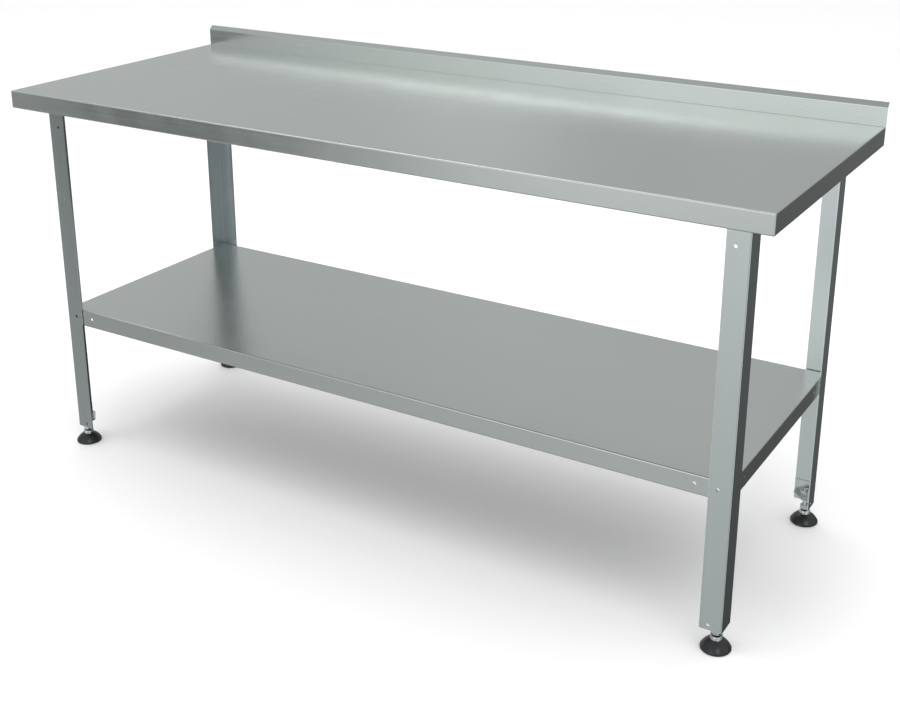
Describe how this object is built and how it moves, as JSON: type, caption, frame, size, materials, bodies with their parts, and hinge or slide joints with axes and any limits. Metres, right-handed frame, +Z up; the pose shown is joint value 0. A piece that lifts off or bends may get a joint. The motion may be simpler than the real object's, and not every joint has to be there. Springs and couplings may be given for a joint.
{
  "type": "work table",
  "caption": "Stainless steel work table with a rear upstand, folded aprons, a lower shelf, angle legs and swivelling screw-adjusted feet.",
  "frame": {"origin": "on the floor, under the middle of the worktop", "axes": "+X along the table to its right end, +Y to the back, where the upstand is, +Z up"},
  "size_m": [1.8, 0.7, 0.95],
  "materials": {
    "sheet_steel": "satin stainless sheet with a fine brushed grain along the length",
    "leg_steel": "satin stainless angle with a fine brushed grain along the height",
    "frame_steel": "dull stainless sheet, as rolled",
    "zinc": "bright zinc plate",
    "black_plastic": "moulded black plastic, semi-gloss",
    "nylon": "natural nylon",
    "rubber": "matt rubber"
  },
  "bodies": {
    "table": {"worktop_sheet": "sheet_steel", "worktop_rail_left": "frame_steel", "worktop_rail_right": "frame_steel", "worktop_stiffener_front": "frame_steel", "worktop_stiffener_rear": "frame_steel", "worktop_bolts": "zinc", "worktop_weld_nuts": "zinc", "shelf_sheet": "sheet_steel", "shelf_stiffener": "frame_steel", "shelf_weld_studs": "zinc", "shelf_nuts": "zinc", "foot_weld_nuts": "zinc", "foot_lock_nuts": "zinc", "leg_front_left": "leg_steel", "leg_top_bracket_front_left": "frame_steel", "shelf_corner_bracket_front_left": "frame_steel", "foot_bracket_front_left": "frame_steel", "leg_front_right": "leg_steel", "leg_top_bracket_front_right": "frame_steel", "shelf_corner_bracket_front_right": "frame_steel", "foot_bracket_front_right": "frame_steel", "leg_rear_left": "leg_steel", "leg_top_bracket_rear_left": "frame_steel", "shelf_corner_bracket_rear_left": "frame_steel", "foot_bracket_rear_left": "frame_steel", "leg_rear_right": "leg_steel", "leg_top_bracket_rear_right": "frame_steel", "shelf_corner_bracket_rear_right": "frame_steel", "foot_bracket_rear_right": "frame_steel"},
    "foot_front_left_carrier": {"foot_ball_front_left": "zinc"},
    "foot_front_left_spindle": {"foot_spindle_front_left": "zinc"},
    "foot_front_left_cup": {"foot_socket_front_left": "nylon"},
    "foot_front_left_base": {"foot_base_front_left": "black_plastic", "foot_ring_front_left": "zinc", "foot_pad_front_left": "rubber"},
    "foot_front_right_carrier": {"foot_ball_front_right": "zinc"},
    "foot_front_right_spindle": {"foot_spindle_front_right": "zinc"},
    "foot_front_right_cup": {"foot_socket_front_right": "nylon"},
    "foot_front_right_base": {"foot_base_front_right": "black_plastic", "foot_ring_front_right": "zinc", "foot_pad_front_right": "rubber"},
    "foot_rear_left_carrier": {"foot_ball_rear_left": "zinc"},
    "foot_rear_left_spindle": {"foot_spindle_rear_left": "zinc"},
    "foot_rear_left_cup": {"foot_socket_rear_left": "nylon"},
    "foot_rear_left_base": {"foot_base_rear_left": "black_plastic", "foot_ring_rear_left": "zinc", "foot_pad_rear_left": "rubber"},
    "foot_rear_right_carrier": {"foot_ball_rear_right": "zinc"},
    "foot_rear_right_spindle": {"foot_spindle_rear_right": "zinc"},
    "foot_rear_right_cup": {"foot_socket_rear_right": "nylon"},
    "foot_rear_right_base": {"foot_base_rear_right": "black_plastic", "foot_ring_rear_right": "zinc", "foot_pad_rear_right": "rubber"}
  },
  "joints": [
    {"name": "foot_front_left_lift", "type": "slide", "parent": "table", "child": "foot_front_left_carrier", "axis": [0, 0, 1], "range_m": [0, 0.01]},
    {"name": "foot_front_left_screw_turn", "type": "hinge", "parent": "foot_front_left_carrier", "child": "foot_front_left_spindle", "pos_m": [-0.83, -0.28, 0.013], "axis": [0, 0, 1], "range_deg": [0, 2060]},
    {"name": "foot_front_left_tilt_forwards", "type": "hinge", "parent": "foot_front_left_carrier", "child": "foot_front_left_cup", "pos_m": [-0.83, -0.28, 0.013], "axis": [1, 0, 0], "range_deg": [-7.5, 7.5]},
    {"name": "foot_front_left_tilt_sideways", "type": "hinge", "parent": "foot_front_left_cup", "child": "foot_front_left_base", "pos_m": [-0.83, -0.28, 0.013], "axis": [0, 1, 0], "range_deg": [-7.5, 7.5]},
    {"name": "foot_front_right_lift", "type": "slide", "parent": "table", "child": "foot_front_right_carrier", "axis": [0, 0, 1], "range_m": [0, 0.01]},
    {"name": "foot_front_right_screw_turn", "type": "hinge", "parent": "foot_front_right_carrier", "child": "foot_front_right_spindle", "pos_m": [0.83, -0.28, 0.013], "axis": [0, 0, 1], "range_deg": [0, 2060]},
    {"name": "foot_front_right_tilt_forwards", "type": "hinge", "parent": "foot_front_right_carrier", "child": "foot_front_right_cup", "pos_m": [0.83, -0.28, 0.013], "axis": [1, 0, 0], "range_deg": [-7.5, 7.5]},
    {"name": "foot_front_right_tilt_sideways", "type": "hinge", "parent": "foot_front_right_cup", "child": "foot_front_right_base", "pos_m": [0.83, -0.28, 0.013], "axis": [0, 1, 0], "range_deg": [-7.5, 7.5]},
    {"name": "foot_rear_left_lift", "type": "slide", "parent": "table", "child": "foot_rear_left_carrier", "axis": [0, 0, 1], "range_m": [0, 0.01]},
    {"name": "foot_rear_left_screw_turn", "type": "hinge", "parent": "foot_rear_left_carrier", "child": "foot_rear_left_spindle", "pos_m": [-0.83, 0.269, 0.013], "axis": [0, 0, 1], "range_deg": [0, 2060]},
    {"name": "foot_rear_left_tilt_forwards", "type": "hinge", "parent": "foot_rear_left_carrier", "child": "foot_rear_left_cup", "pos_m": [-0.83, 0.269, 0.013], "axis": [1, 0, 0], "range_deg": [-7.5, 7.5]},
    {"name": "foot_rear_left_tilt_sideways", "type": "hinge", "parent": "foot_rear_left_cup", "child": "foot_rear_left_base", "pos_m": [-0.83, 0.269, 0.013], "axis": [0, 1, 0], "range_deg": [-7.5, 7.5]},
    {"name": "foot_rear_right_lift", "type": "slide", "parent": "table", "child": "foot_rear_right_carrier", "axis": [0, 0, 1], "range_m": [0, 0.01]},
    {"name": "foot_rear_right_screw_turn", "type": "hinge", "parent": "foot_rear_right_carrier", "child": "foot_rear_right_spindle", "pos_m": [0.83, 0.269, 0.013], "axis": [0, 0, 1], "range_deg": [0, 2060]},
    {"name": "foot_rear_right_tilt_forwards", "type": "hinge", "parent": "foot_rear_right_carrier", "child": "foot_rear_right_cup", "pos_m": [0.83, 0.269, 0.013], "axis": [1, 0, 0], "range_deg": [-7.5, 7.5]},
    {"name": "foot_rear_right_tilt_sideways", "type": "hinge", "parent": "foot_rear_right_cup", "child": "foot_rear_right_base", "pos_m": [0.83, 0.269, 0.013], "axis": [0, 1, 0], "range_deg": [-7.5, 7.5]}
  ],
  "couplings": [
    {"joint": "foot_front_left_screw_turn", "follows": "foot_front_left_lift", "rad_per_m": 3590.4},
    {"joint": "foot_front_right_screw_turn", "follows": "foot_front_right_lift", "rad_per_m": 3590.4},
    {"joint": "foot_rear_left_screw_turn", "follows": "foot_rear_left_lift", "rad_per_m": 3590.4},
    {"joint": "foot_rear_right_screw_turn", "follows": "foot_rear_right_lift", "rad_per_m": 3590.4}
  ]
}
